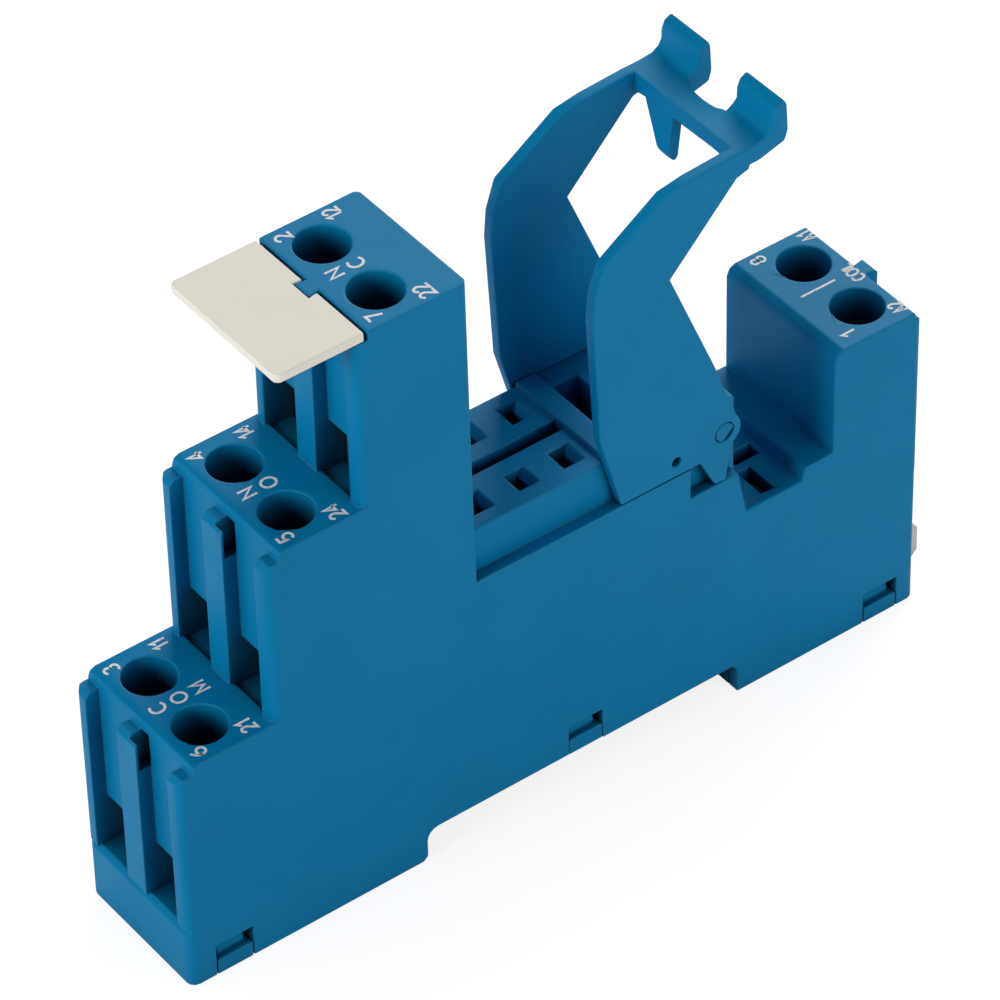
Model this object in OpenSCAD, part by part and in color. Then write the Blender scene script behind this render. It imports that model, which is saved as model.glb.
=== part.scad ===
// DIN-rail relay socket: stepped screw-terminal housing with a pivoting
// retaining clip, a marker tag, rising-clamp terminals and spring contacts.
// +X runs from the stepped end to the coil end, +Z is up, and the origin is
// the middle of the pad that lies on the rail.

/* [Housing] */
// Width across the two side faces
body_w = 15.8; // [15.6:0.1:18]
// Length of the moulded housing
body_l = 83.3; // [83:0.5:90]
// Thickness of the side walls round the base and beside the seat
side_wall = 1.3; // [1.1:0.1:1.5]
// Height of the lowest terminal tier
tier1_h = 26.4; // [26:0.2:30]
// Rise from one terminal tier to the next
tier_rise = 19.25; // [19:0.25:22]
// Step back from one tier to the next
tier_step = 10.2; // [10:0.1:11]
// Depth of the wire channels between the ribs
rib_depth = 1.5; // [1:0.1:1.8]
// Length of the tall tower from its wire face to the seat side
tower_l = 10.45; // [10:0.05:11]
// Height of the coil tower
coil_h = 35.4; // [34:0.2:40]
// Length of the coil tower at its foot
coil_tower_l = 10.4; // [10:0.1:11]
// Depth of the coil tower's wire channels
coil_rib_depth = 1; // [0.8:0.1:1.5]
// Round on the upright corners
corner_r = 0.9; // [0.5:0.1:1.2]
// Bevel on the top edge of each wire face
cap_bevel = 0.8; // [0.4:0.1:1]

/* [Rail recess] */
// Distance from the stepped end to the rail recess
recess_x = 26.2; // [26:0.1:28]
// Width of the recess for a 35 mm rail
recess_w = 35.7; // [35.4:0.1:36.5]
// Depth of the recess
recess_h = 3.55; // [3.2:0.05:4]
// Round of the recess corners
recess_r = 1.2; // [0.6:0.1:1.5]
// Reach of the rail hooks under the rail's edges
hook_reach = 1.2; // [0.8:0.1:1.5]
// Thickness of the rail's edge held by the hooks
rail_t = 1; // [1:0.1:1.2]
// Height of the pad that lies on the rail, clear of the round corners
rail_pad_t = 0.4; // [0.3:0.05:0.6]

/* [Terminals] */
// Spacing of the two rows of terminal screws
row_pitch = 7.7; // [7.6:0.1:8.4]
// Radius of the screwdriver holes
hole_r = 2.54; // [2.3:0.02:2.6]
// Depth of the screwdriver guide above the screw head
guide_depth = 6; // [5:0.5:7]
// Screw axis behind the wire face on the stepped side
hole_inset = 3.75; // [3.6:0.05:4]
// Screw axis behind the wire face on the coil tower
coil_hole_inset = 3.55; // [3.4:0.05:3.8]
// Width of the wire channels and entries
wire_w = 4.85; // [4.6:0.05:5]
// Height of the wire entries
wire_h = 5.5; // [4.5:0.1:5.6]
// Height of the tall front ledge below the lowest wire entries
ledge_h = 6.7; // [6.6:0.1:7]
// Radius of the M3 screw shank
screw_r = 1.5; // [1.25:0.05:1.6]
// Radius of the screw head
head_r = 2.65; // [2.5:0.05:2.7]
// Height of the screw head
head_h = 2; // [1.6:0.1:2.2]
// Rise of a clamp cage from open to closed
clamp_lift = 2.25; // [1.8:0.05:2.3]
// Width of a clamp cage
cage_w = 4.6; // [4.4:0.05:4.65]
// Length of a clamp cage along the wire
cage_l = 4.2; // [3.8:0.1:4.3]
// Wall of a clamp cage
cage_t = 0.8; // [0.6:0.05:0.9]

/* [Contacts] */
// Thickness of the contact strips
strip_t = 0.8; // [0.6:0.05:0.9]
// Height of the strips on edge
strip_h = 2.6; // [2:0.1:2.8]
// Sideways spacing of the three strip planes of a row
strip_gap = 1.6; // [1.5:0.05:1.7]
// First relay contact slot from the stepped end
slot_x = 35.15; // [35:0.05:35.5]
// Pitch of the relay contact slots
slot_pitch = 5; // [4.8:0.1:5.1]
// Coil slot from the stepped end
coil_slot_x = 58.1; // [57.8:0.1:58.3]
// Spacing of the two rows of relay slots
pin_row_pitch = 7.5; // [7.4:0.1:7.8]
// Length of a slot across the socket
slot_l = 2.45; // [2.3:0.05:2.6]
// Width of a slot along the socket
slot_w = 1.55; // [1.4:0.05:1.7]

/* [Relay seat and module bay] */
// Height of the relay seat
seat_h = 35.4; // [35:0.2:37]
// Depth of the clip's side ledges below the seat
lip_drop = 4.8; // [4:0.1:5.4]
// End of the relay seat from the stepped end
seat_end = 62.2; // [62:0.1:62.4]
// End of the high side ledge
lip_end = 56.4; // [56.2:0.1:56.5]
// Depth of the low side wall, under the clip's feet, below the ledges
low_wall_drop = 3.45; // [3:0.05:3.6]
// Height of the module bay floor
bay_h = 22.1; // [21.5:0.1:22.5]
// End of the module bay floor
bay_end = 69.4; // [69:0.1:69.6]
// Depth of the groove between the two slot rows
groove_depth = 1.8; // [1:0.1:2.2]

/* [Retaining clip] */
// Thickness of the clip's side plates
plate_t = 1.2; // [1:0.05:1.2]
// Clip pivot from the stepped end
pivot_x = 60.2; // [60:0.1:60.3]
// Clip pivot above the side ledge
pivot_rise = 2.35; // [2.2:0.05:2.5]
// Radius of the pivot pins
pivot_r = 1; // [0.8:0.05:1.1]
// Radial clearance of the pivot pins
pivot_clear = 0.06; // [0.03:0.01:0.1]
// Height from the seat to the underside of the cross bar
hold_h = 27; // [25:0.5:29]
// Thickness of the cross bar and hooks
bar_t = 1.8; // [1.5:0.1:2.2]
// Width of each finger hook
hook_w = 5.2; // [4.5:0.1:5.4]

/* [Marker tag] */
// Length of the tag
tag_l = 9.1; // [8:0.1:9.4]
// Thickness of the tag
tag_t = 1; // [0.8:0.1:1.2]
// Width of the dovetail at its outer end
dovetail_w = 2.2; // [1.8:0.1:2.6]
// Reach of the dovetail
dovetail_l = 1.15; // [0.9:0.05:1.2]

/* [Base cover and rail foot] */
// Thickness of the base cover
cover_t = 1.75; // [1.5:0.05:1.8]
// Width of the rail foot
foot_w = 8; // [7:0.2:8.4]
// Thickness of the rail foot's slide
foot_t = 2.3; // [2:0.1:2.3]
// Length of the foot that stands out of the housing
grip_l = 3.6; // [3:0.1:4.5]
// Length of a latch window
latch_l = 3.95; // [3.5:0.05:4.2]

/* [Hidden] */
fit = 0.1;
snug = 0.05;
eps = 0.01;
hw = body_w / 2;
row_y = row_pitch / 2;
pin_y = pin_row_pitch / 2;
origin_x = recess_x + recess_w / 2;
seat_w = body_w - 2 * side_wall;
coil_cap_x = body_l - coil_rib_depth;
coil_face_x = body_l - coil_tower_l;
tower_x = tier_face(2) + tower_l;
rib_edge = row_y - wire_w / 2;
rib_out = row_y + wire_w / 2;
head_top = guide_depth + fit;
head_seat = head_top + head_h + snug;
head_bore_r = head_r + 0.3;
shank_bore_r = screw_r + 0.35;
chamber_top = head_seat + 1.2;
bar_top = 15.6;
bar_h = 1.1;
tip_gap = snug;
cage_roof_t = 1.6;
cage_floor = bar_top + bar_h + clamp_lift + 0.35 + cage_t;
chamber_floor = cage_floor + fit;
entry_low = chamber_floor - 0.5;
entry_top = entry_low - wire_h;
lip_h = seat_h - lip_drop;
low_wall_h = lip_h - low_wall_drop;
pivot_z = lip_h + pivot_rise;
rail_z = recess_h - rail_pad_t;
hook_top = rail_z - rail_t - 0.15;
seat_block_base = low_wall_h - 6;
clip_gap = 0.06;
clip_top = seat_h + hold_h + bar_t;
tag_x = tier_face(2) - 0.3;
groove_w = 1.35;
web_r = 3;
fork_base_z = seat_h - 7.9;
fork_top_z = seat_h - 2.2;
slot_floor = seat_h - 1.4;
foot_end = body_l + grip_l;
cover_in = 1.35;
latch_h = recess_h;
front_blade_x = 14;
blade_l = 8;
latches = [[2.85, 0], [recess_x + 16, recess_h], [body_l - 6.25, 0]];
$fn = 48;

// Wire face, rib plane, top and screw axis of tier t (0 to 2, 3 = coil tower)
function tier_face(t) = rib_depth + t * tier_step;
function tier_top(t) = t < 3 ? tier1_h + t * tier_rise : coil_h;
function screw_x(t) = t < 3 ? tier_face(t) + hole_inset : coil_cap_x - coil_hole_inset;
function strip_y(t) = t == 0 || t == 3 ? row_y + strip_gap
  : t == 1 ? row_y : row_y - strip_gap;
function contact_x(t) = t < 3 ? slot_x + (2 - t) * slot_pitch : coil_slot_x;

// Points on an arc from angle a0 to a1 in n steps
function arc(x, z, r, a0, a1, n) =
  [for (i = [0:n]) [x + r * cos(a0 + (a1 - a0) * i / n), z + r * sin(a0 + (a1 - a0) * i / n)]];

// Extrude an X-Z outline from y0 to y1
module across(y0, y1) {
  translate([0, y1, 0]) rotate([90, 0, 0]) linear_extrude(y1 - y0) children();
}

module box(x0, x1, y0, y1, z0, z1) {
  translate([x0, y0, z0]) cube([x1 - x0, y1 - y0, z1 - z0]);
}

// Move the working frame, from the stepped end's foot, to the part's frame
module place() {
  translate([-origin_x, 0, -rail_z]) children();
}

// Place a child on the screw axis of a terminal, wire side towards -X
module at_terminal(t, side) {
  translate([screw_x(t), side * row_y, tier_top(t)])
    mirror([t == 3 ? 1 : 0, 0, 0]) children();
}

module both_sides() {
  children();
  mirror([0, 1, 0]) children();
}

// ---- housing ----

// Side view of the moulding, without ribs and seat block
module side_outline() {
  f0 = tier_face(0);
  f1 = tier_face(1);
  f2 = tier_face(2);
  coil_ledge = coil_h - entry_low;
  polygon(concat(
    [[0, 0], [0, ledge_h - 0.5], [0.5, ledge_h], [f0, ledge_h]],
    [[f0, tier_top(0) - cap_bevel], [f0 + 0.3 * cap_bevel, tier_top(0) - 0.3 * cap_bevel]],
    [[f0 + cap_bevel, tier_top(0)], [f1, tier_top(0)]],
    [[f1, tier_top(1) - cap_bevel], [f1 + 0.3 * cap_bevel, tier_top(1) - 0.3 * cap_bevel]],
    [[f1 + cap_bevel, tier_top(1)], [f2, tier_top(1)]],
    [[f2, tier_top(2)], [tower_x, tier_top(2)], [tower_x, lip_h]],
    [[lip_end, lip_h], [lip_end, low_wall_h], [seat_end - 0.35, low_wall_h]],
    [[seat_end + 0.65, bay_h], [bay_end - 0.1, bay_h], [bay_end + 0.25, bay_h + 1.45]],
    [[coil_face_x, bay_h + 1.45], [coil_face_x, coil_h - 1.1]],
    [[coil_face_x + 0.3, coil_h - 0.35], [coil_face_x + 1, coil_h]],
    [[coil_cap_x, coil_h], [coil_cap_x, coil_ledge], [body_l - 0.4, coil_ledge]],
    [[body_l, coil_ledge - 0.4], [body_l, 0], [recess_x + recess_w, 0]],
    arc(recess_x + recess_w - recess_r, recess_h - recess_r, recess_r, 0, 90, 4),
    arc(recess_x + recess_r, recess_h - recess_r, recess_r, 90, 180, 4),
    [[recess_x, 0.5], [recess_x - 0.5, 0]]
  ));
}

// Three upright ribs that frame the two wire channels of a tier
module channel_ribs(face, depth, z0, z1) {
  for (y = [[-hw, -rib_out], [-rib_edge, rib_edge], [rib_out, hw]])
    across(y[0], y[1])
      polygon([
        [face - depth, z0], [face - depth, z1 - 0.6], [face - depth + 0.5, z1],
        [face + eps, z1], [face + eps, z0]
      ]);
}

// Sliver that rounds an upright corner at x, on the side given by dir
module corner_cut(x, dir, z0, z1) {
  for (s = [-1, 1])
    translate([x, s * hw, z0]) scale([dir, -s, 1]) linear_extrude(z1 - z0)
      polygon(concat([[-1, -1]], [[-1, corner_r]],
        arc(corner_r, corner_r, corner_r, 180, 270, 3), [[corner_r, -1]]));
}

// Driver guide, head bore, shank hole, clamp chamber and wire entry
module terminal_space(t) {
  half = cage_l / 2 + 0.15;
  face = t < 3 ? hole_inset : coil_hole_inset;
  translate([0, 0, -guide_depth]) cylinder(r = hole_r, h = guide_depth + 1);
  translate([0, 0, -head_seat]) cylinder(r = head_bore_r, h = head_seat - guide_depth);
  translate([0, 0, -chamber_top - 1]) cylinder(r = shank_bore_r, h = 3);
  box(-half, half, -cage_w / 2 - fit, cage_w / 2 + fit, -chamber_floor, -chamber_top);
  box(-face - 1, -half + 1, -wire_w / 2, wire_w / 2, -entry_low, -entry_top);
}

// Slots that hold a contact strip, open below for assembly
module contact_space(t, side) {
  y = strip_y(t);
  x = contact_x(t);
  low = recess_h;
  tab_x = screw_x(t) + (t < 3 ? 1 : -1) * (cage_l / 2 + 0.5);
  scale([1, side, 1]) {
    across(y - strip_t / 2 - snug, y + strip_t / 2 + snug)
      strip_outline(t, snug, low - strip_low(t));
    if (t == 0)
      box(front_blade_x - snug, front_blade_x + blade_l + snug, y - strip_t / 2 - snug,
        y + strip_t / 2 + snug, cover_t, recess_h + eps);
    box(min(tab_x, tab_x + back(t) * 2.4) - snug, max(tab_x, tab_x + back(t) * 2.4) + snug,
      min(y, row_y) - 1.5, max(y, row_y) + 1.5,
      tier_top(t) - bar_top - bar_h - snug, tier_top(t) - bar_top + snug);
    box(min(tab_x, tab_x - back(t) * 1.5), max(tab_x, tab_x - back(t) * 1.5),
      row_y - 1.5, row_y + 1.5,
      tier_top(t) - bar_top - bar_h - snug, tier_top(t) - bar_top + snug);
    box(x - 1.35, x + 1.35, min(pin_y - 1.3, y - 0.5), max(pin_y + 1.3, y + 0.5),
      fork_base_z - snug, slot_floor);
    box(x - slot_w / 2, x + slot_w / 2, pin_y - slot_l / 2, pin_y + slot_l / 2,
      slot_floor - eps, seat_h + 1);
    if (t < 3)
      across(pin_y - slot_l / 2, pin_y + slot_l / 2)
        polygon([[x, seat_h + eps], [x, seat_h - 0.8], [x + slot_w / 2, seat_h - 0.8],
          [x + slot_w / 2 + 0.7, seat_h + eps]]);
  }
}

module latch_windows() {
  for (w = latches)
    both_sides()
      box(w[0], w[0] + latch_l, -hw - 1, -hw + side_wall + 0.6, w[1] - 1, w[1] + latch_h);
}

// Dovetail that holds a marker tag, standing out towards -X from face
module dovetail(face, z0, z1, grow) {
  root = dovetail_w * 0.68;
  translate([face, 0, z0]) linear_extrude(z1 - z0)
    polygon([
      [1, -root / 2 - grow], [-dovetail_l - grow, -dovetail_w / 2 - grow],
      [-dovetail_l - grow, dovetail_w / 2 + grow], [1, root / 2 + grow]
    ]);
}

module housing_solid() {
  across(-hw, hw) side_outline();
  box(tower_x - 1, seat_end, -seat_w / 2, seat_w / 2, seat_block_base, seat_h);
  box(bar_x(), bar_x() + 2.3, -seat_w / 2, seat_w / 2, seat_h - 1, seat_h + 0.45);
  for (t = [0:2])
    channel_ribs(tier_face(t), rib_depth, t == 0 ? ledge_h - eps : tier_top(t - 1) - eps,
      tier_top(t) - tag_t - (t < 2 ? 0.1 : 0));
  mirror([1, 0, 0])
    channel_ribs(-coil_cap_x, coil_rib_depth, coil_h - entry_low - eps, coil_h - 0.9);
  dovetail(tier_face(2), tier_top(2) - 2.4, tier_top(2), 0);
  translate([coil_cap_x, 0, 0]) mirror([1, 0, 0]) dovetail(0, coil_h - 2.2, coil_h, 0);
  both_sides() pivot_pin();
}

function bar_x() = slot_x + 2 * slot_pitch + 2.45;

// Pin for the clip, its end cut back towards the coil side and below
module pivot_pin() {
  difference() {
    translate([pivot_x, -seat_w / 2 + eps, pivot_z]) rotate([90, 0, 0])
      cylinder(r = pivot_r, h = plate_t + clip_gap);
    translate([pivot_x, -hw, pivot_z]) rotate([0, 45, 0]) rotate([0, 0, 40])
      translate([0.45, -2, -2]) cube([2, 2.2, 4]);
  }
}

module housing() {
  color([0, 0.42, 0.62]) place() difference() {
    housing_solid();
    corner_cut(0, 1, -1, tier_top(0) - 1);
    corner_cut(tier_step, 1, tier_top(0), tier_top(1) - 1);
    corner_cut(2 * tier_step, 1, tier_top(1), tier_top(2) - 1);
    corner_cut(body_l, -1, -1, coil_h - 0.5);
    for (t = [0:3], side = [-1, 1]) {
      at_terminal(t, side) terminal_space(t);
      contact_space(t, side);
    }
    rib_pockets();
    seat_pockets();
    bay_slots();
    cover_space();
    latch_windows();
  }
}

// Side pockets at the top of the middle ribs
module rib_pockets() {
  for (t = [0:2])
    box(tier_face(t) - rib_depth + 0.25, tier_face(t) + 1.2, -rib_edge - eps, -0.25,
      tier_top(t) - 4.6, tier_top(t) - 1);
}

// Groove between the slot rows and the deep pocket past the cross bar
module seat_pockets() {
  box(tower_x + 1, bar_x(), -groove_w / 2, groove_w / 2, seat_h - groove_depth, seat_h + 1);
  box(bar_x() + 2.3, bar_x() + 5.3, -4.3, 4.3, seat_h - 8, seat_h + 1);
  both_sides() box(tower_x - eps, tower_x + 1.3, -hw - 1, -hw + 0.25, lip_h - eps, lip_h + 1);
}

// Slots in the module bay floor: one for each coil pin and one key slot
module bay_slots() {
  x = bay_end - 3.35;
  both_sides() box(x - 0.75, x + 0.75, -hw + 1.05, -hw + 4.6, bay_h - 2, bay_h + 1);
  both_sides() box(x - 1.35, x + 1.35, -hw + 1.05, -hw + 4.7, fork2_base_z() - snug, bay_h - 1.2);
  box(x - 0.2, x + 2.7, -hw + 5.5, -hw + 7.1, bay_h - 6, bay_h + 1);
}

function fork2_base_z() = strip_low(3) + strip_h - 0.4;

// Room for the base cover and the rail foot
module cover_space() {
  across(-seat_w / 2, seat_w / 2) cover_outline(snug, -1);
  box(body_l - 3, body_l + 1, -foot_w / 2 - fit, foot_w / 2 + fit, -1, foot_t + 0.3 + fit);
}

// ---- contacts ----

function back(t) = t < 3 ? 1 : -1;
function strip_low(t) = t == 0 ? ledge_h + 1.3 : t == 1 ? seat_h - 13 : t == 2 ? fork_base_z - 0.7
  : bay_h - 13.1;

// Side view of a strip, grown by g, with its lower edge moved by drop
module strip_outline(t, g, drop) {
  s = back(t);
  x0 = screw_x(t) + s * (cage_l / 2 + 0.5);
  x1 = contact_x(t);
  tab = tier_top(t) - bar_top;
  low = strip_low(t) + drop;
  riser = strip_low(t) + strip_h;
  polygon([
    [x0 - s * g, low - g], [x0 - s * g, tab + g], [x0 + s * (2.4 + g), tab + g],
    [x0 + s * (2.4 + g), riser + g], [x1 - s * (1 + g), riser + g],
    [x1 - s * (1 + g), fork_base_z + g + 0.8], [x1 + s * (1 + g), fork_base_z + g + 0.8],
    [x1 + s * (1 + g), low - g]
  ]);
}

// Two-leaf spring fork that grips a flat pin, standing on its base
module fork(x, z0, z1) {
  polygon([
    [x - 1, z0], [x - 1, z0 + 0.8], [x - 0.75, z1 - 1.2], [x - 1.1, z1],
    [x - 0.75, z1], [x - 0.3, z1 - 1.2], [x - 0.45, z0 + 0.8], [x + 0.45, z0 + 0.8],
    [x + 0.3, z1 - 1.2], [x + 0.75, z1], [x + 1.1, z1], [x + 0.75, z1 - 1.2],
    [x + 1, z0 + 0.8], [x + 1, z0]
  ]);
}

// One stamped and bent contact: clamp bar, strip and pin fork
module contact(t, side) {
  s = back(t);
  y = strip_y(t);
  x0 = screw_x(t) + s * (cage_l / 2 + 0.5);
  tab = tier_top(t) - bar_top;
  bar_w = cage_w - 2 * cage_t - 0.2;
  color([0.85, 0.62, 0.3]) place() scale([1, side, 1]) {
    across(y - strip_t / 2, y + strip_t / 2) strip_outline(t, 0, 0);
    box(min(screw_x(t) - s * 1.9, x0 + s * 2.4), max(screw_x(t) - s * 1.9, x0 + s * 2.4),
      row_y - bar_w / 2, row_y + bar_w / 2, tab - bar_h, tab);
    if (t != 1)
      box(min(x0, x0 + s * 2.4), max(x0, x0 + s * 2.4), min(y, row_y) - strip_t / 2,
        max(y, row_y) + strip_t / 2, tab - bar_h, tab);
    across(pin_y - 1.1, pin_y + 1.1) fork(contact_x(t), fork_base_z, fork_top_z);
    box(contact_x(t) - 1, contact_x(t) + 1, min(y - strip_t / 2, pin_y), max(y + strip_t / 2, pin_y),
      fork_base_z, fork_base_z + 0.8);
    if (t == 3)
      across(hw - 4.3, hw - 1.35) fork(bay_end - 3.35, fork2_base_z(), bay_h - 1.8);
  }
}

module contact_com_near() { contact(0, -1); }
module contact_com_far() { contact(0, 1); }
module contact_no_near() { contact(1, -1); }
module contact_no_far() { contact(1, 1); }
module contact_nc_near() { contact(2, -1); }
module contact_nc_far() { contact(2, 1); }
module contact_coil_near() { contact(3, -1); }
module contact_coil_far() { contact(3, 1); }

// ---- terminal screws and clamp cages ----

module screw(t, side) {
  color([0.78, 0.78, 0.76]) place() at_terminal(t, side) difference() {
    union() {
      translate([0, 0, -head_top - head_h]) cylinder(r = head_r, h = head_h);
      translate([0, 0, -bar_top + tip_gap])
        cylinder(r = screw_r, h = bar_top - tip_gap - head_top - head_h + eps);
    }
    box(-head_r - 1, head_r + 1, -0.4, 0.4, -head_top - 1, -head_top + 1);
    box(-0.4, 0.4, -1.7, 1.7, -head_top - 1.2, -head_top + 1);
  }
}

module screw_com_near() { screw(0, -1); }
module screw_com_far() { screw(0, 1); }
module screw_no_near() { screw(1, -1); }
module screw_no_far() { screw(1, 1); }
module screw_nc_near() { screw(2, -1); }
module screw_nc_far() { screw(2, 1); }
module screw_coil_near() { screw(3, -1); }
module screw_coil_far() { screw(3, 1); }

// Rising clamp cage, drawn open at the bottom of its travel
module cage(t, side) {
  roof = bar_top - 0.1;
  color([0.72, 0.73, 0.72]) place() at_terminal(t, side) difference() {
    box(-cage_l / 2, cage_l / 2, -cage_w / 2, cage_w / 2, -cage_floor, -roof + cage_roof_t);
    box(-cage_l, cage_l, -cage_w / 2 + cage_t, cage_w / 2 - cage_t, -cage_floor + cage_t, -roof);
    translate([0, 0, -roof - 1]) cylinder(r = screw_r + 0.3, h = cage_roof_t + 2);
    for (x = [-1.2, 0, 1.2])
      translate([x, 0, -cage_floor + cage_t]) rotate([90, 0, 0])
        cylinder(r = 0.25, h = cage_w - 2 * cage_t - 0.4, center = true, $fn = 16);
  }
}

module cage_com_near() { cage(0, -1); }
module cage_com_far() { cage(0, 1); }
module cage_no_near() { cage(1, -1); }
module cage_no_far() { cage(1, 1); }
module cage_nc_near() { cage(2, -1); }
module cage_nc_far() { cage(2, 1); }
module cage_coil_near() { cage(3, -1); }
module cage_coil_far() { cage(3, 1); }

// ---- retaining clip ----

// Side plate: foot and eye at the pivot, sloping arm, shoulder at the top
module plate_outline() {
  low = lip_h + clip_gap;
  x = pivot_x;
  z = clip_top;
  difference() {
    polygon(concat(
      [[x - 11.7, low], [x - 2.75, low], [x - 1.05, low_wall_h + 0.1]],
      [[x + 0.25, low_wall_h + 0.1]],
      arc(x, pivot_z, 1.9, -70, 40, 7),
      [[x - 0.6, pivot_z + 6.7], [x - 1, pivot_z + 8.05], [x - 6.15, z - 10.35]],
      [[x - 1.75, z - 5.65], [x + 1.1, z - 2.6], [x + 2.55, z - 2.2], [x + 2.55, z]],
      [[x + 0.65, z], [x - 4.1, z - 0.3], [x - 6.85, z - 0.75]],
      [[x - 13.45, z - 5.2], [x - 14.45, z - 8.2], [x - 14.7, z - 11.1]],
      [[x - 14.4, z - 17.2], [x - 14, pivot_z + 6.3]]
    ));
    translate([x, pivot_z]) circle(r = pivot_r + pivot_clear);
    translate([x - 5.45, pivot_z - 0.6]) circle(r = 0.5, $fn = 24);
  }
}

// Cross bar with the curled finger hooks, seen from the side
module hook_outline() {
  x = pivot_x;
  z = clip_top;
  polygon(concat(
    [[x + 1.35, z], [x + 2.9, z + 0.05], [x + 4.1, z + 0.2]],
    [[x + 4.75, z + 0.6], [x + 5.1, z + 1.2], [x + 5.15, z + 2.3], [x + 5.4, z + 2.9]],
    [[x + 6.3, z + 3.4], [x + 6.55, z + 3.05], [x + 6.75, z - 0.3], [x + 6.5, z - 1.1]],
    [[x + 4.05, z - bar_t], [x + 1.35, z - bar_t]]
  ));
}

// Gap between the finger hooks, with a shallow curved bottom
module finger_gap() {
  half = hw - hook_w;
  sag = 0.45;
  r = (half * half + sag * sag) / (2 * sag);
  z = clip_top - 5;
  intersection() {
    translate([pivot_x + 3.6 + r, 0, z]) cylinder(r = r, h = 12);
    box(pivot_x, pivot_x + 12, -half, half, z, z + 12);
  }
}

module retaining_clip() {
  color([0, 0.45, 0.66]) place() {
    both_sides() across(-hw, -hw + plate_t) plate_outline();
    difference() {
      across(-hw, hw) hook_outline();
      finger_gap();
    }
    both_sides() bar_gusset();
    prong();
  }
}

// Web between the cross bar and a side plate
module bar_gusset() {
  y = -hw + plate_t;
  z = clip_top - bar_t;
  drop = 0.5;
  translate([pivot_x + 1.35, 0, 0]) rotate([90, 0, 90]) linear_extrude(0.8)
    polygon(concat([[y - eps, z + eps]],
      [for (p = arc(0, 0, 1, 180, 90, 5)) [y + web_r * (1 + p[0]), z - drop * (1 - p[1])]],
      [[y + web_r, z + eps]]));
}

// Tapered prong under the cross bar that presses on the relay
module prong() {
  x = pivot_x;
  z = clip_top - bar_t;
  intersection() {
    across(-3, 8)
      polygon([[x + 1.35, z + eps], [x + 0.1, z - 3.2], [x + 0.7, z - 3.9],
        [x + 1.2, z - 3.6], [x + 2.55, z + eps]]);
    rotate([90, 0, 90]) translate([0, 0, x - 3]) linear_extrude(8)
      polygon([[1.6, z + 1], [0.2, z - 4], [1.1, z - 4], [6.3, z + 1]]);
  }
}

// ---- marker tag ----

module marker_tag() {
  top = tier_top(2);
  w = body_w - 0.2;
  color([0.87, 0.86, 0.8]) place() difference() {
    translate([tag_x - tag_l, 0, top - tag_t]) linear_extrude(tag_t)
      polygon([
        [0, -w / 2 + 0.4], [0.4, -w / 2], [tag_l, -w / 2], [tag_l, w / 2], [0.4, w / 2],
        [0, w / 2 - 0.4]
      ]);
    dovetail(tier_face(2), top - tag_t - 1, top + 1, 0.06);
  }
}

// ---- base cover ----

// Side view of the cover plate, grown by g, its underside moved by low
module cover_outline(g, low) {
  x0 = cover_in;
  x1 = recess_x;
  x2 = recess_x + recess_w;
  x3 = body_l - cover_in;
  roof = foot_t + 0.3 + fit;
  polygon([
    [x0 - g, low], [x0 - g, cover_t + g], [x1 - cover_t - g, cover_t + g],
    [x1 - cover_t - g, recess_h + cover_t + g], [x2 + cover_t + g, recess_h + cover_t + g],
    [x2 + cover_t + g, roof + cover_t + g], [x3 + g, roof + cover_t + g], [x3 + g, low],
    [x2, low], [x2, recess_h], [x1, recess_h], [x1, low]
  ]);
}

// Latch: flush pad in the window's foot and a stepped tooth behind
module latch(x, z) {
  box(x + snug, x + latch_l - snug, -hw + 0.02, -hw + side_wall + eps, z, z + cover_t);
  translate([x + 0.35, 0, z]) rotate([90, 0, 90]) linear_extrude(latch_l - 1)
    polygon([
      [-hw + side_wall + 0.3, 0], [-hw + 0.75, 0], [-hw + 0.75, cover_t],
      [-hw + 0.55, cover_t + 0.5], [-hw + 0.95, latch_h - 0.35],
      [-hw + side_wall + 0.3, latch_h - 0.35]
    ]);
}

// Upright blade that carries a strip on its edge
module blade(t, x0, x1, z0) {
  y = strip_y(t);
  both_sides() box(x0, x1, y - strip_t / 2, y + strip_t / 2, z0, strip_low(t));
}

module base_cover() {
  x2 = recess_x + recess_w;
  color([0, 0.38, 0.57]) place() {
    difference() {
      union() {
        across(-seat_w / 2 + snug, seat_w / 2 - snug) cover_outline(0, 0);
        for (w = latches) both_sides() latch(w[0], w[1]);
      }
      box(x2 - 1, body_l, -foot_w / 2 - fit, foot_w / 2 + fit, -1, foot_t + 0.3 + fit);
    }
    blade(0, front_blade_x, front_blade_x + blade_l, cover_t - eps);
    blade(1, contact_x(1) - 8, contact_x(1) - 3, recess_h + cover_t - eps);
    blade(2, tower_x - 3, tower_x + 1, recess_h + cover_t - eps);
    blade(3, body_l - 13, body_l - 8, foot_t + 0.3 + cover_t);
    // Pad that lies on the rail, between the hooks
    box(recess_x + recess_r + 0.2, x2 - recess_r - 0.2, -seat_w / 2 + snug, seat_w / 2 - snug,
      rail_z, recess_h + eps);
    // Fixed hook for the rail's first edge
    across(-3.2, 3.2)
      polygon([
        [recess_x - eps, 0.5], [recess_x + hook_reach - 0.6, 0.5],
        [recess_x + hook_reach, 1.1], [recess_x + hook_reach, hook_top],
        [recess_x - eps, hook_top]
      ]);
    // Stop post for the rail foot
    box(x2 + 4.6, x2 + 6.2, -1.5, 1.5, 0.5, foot_t + 0.3 + fit + eps);
  }
}

// ---- rail foot ----

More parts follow.
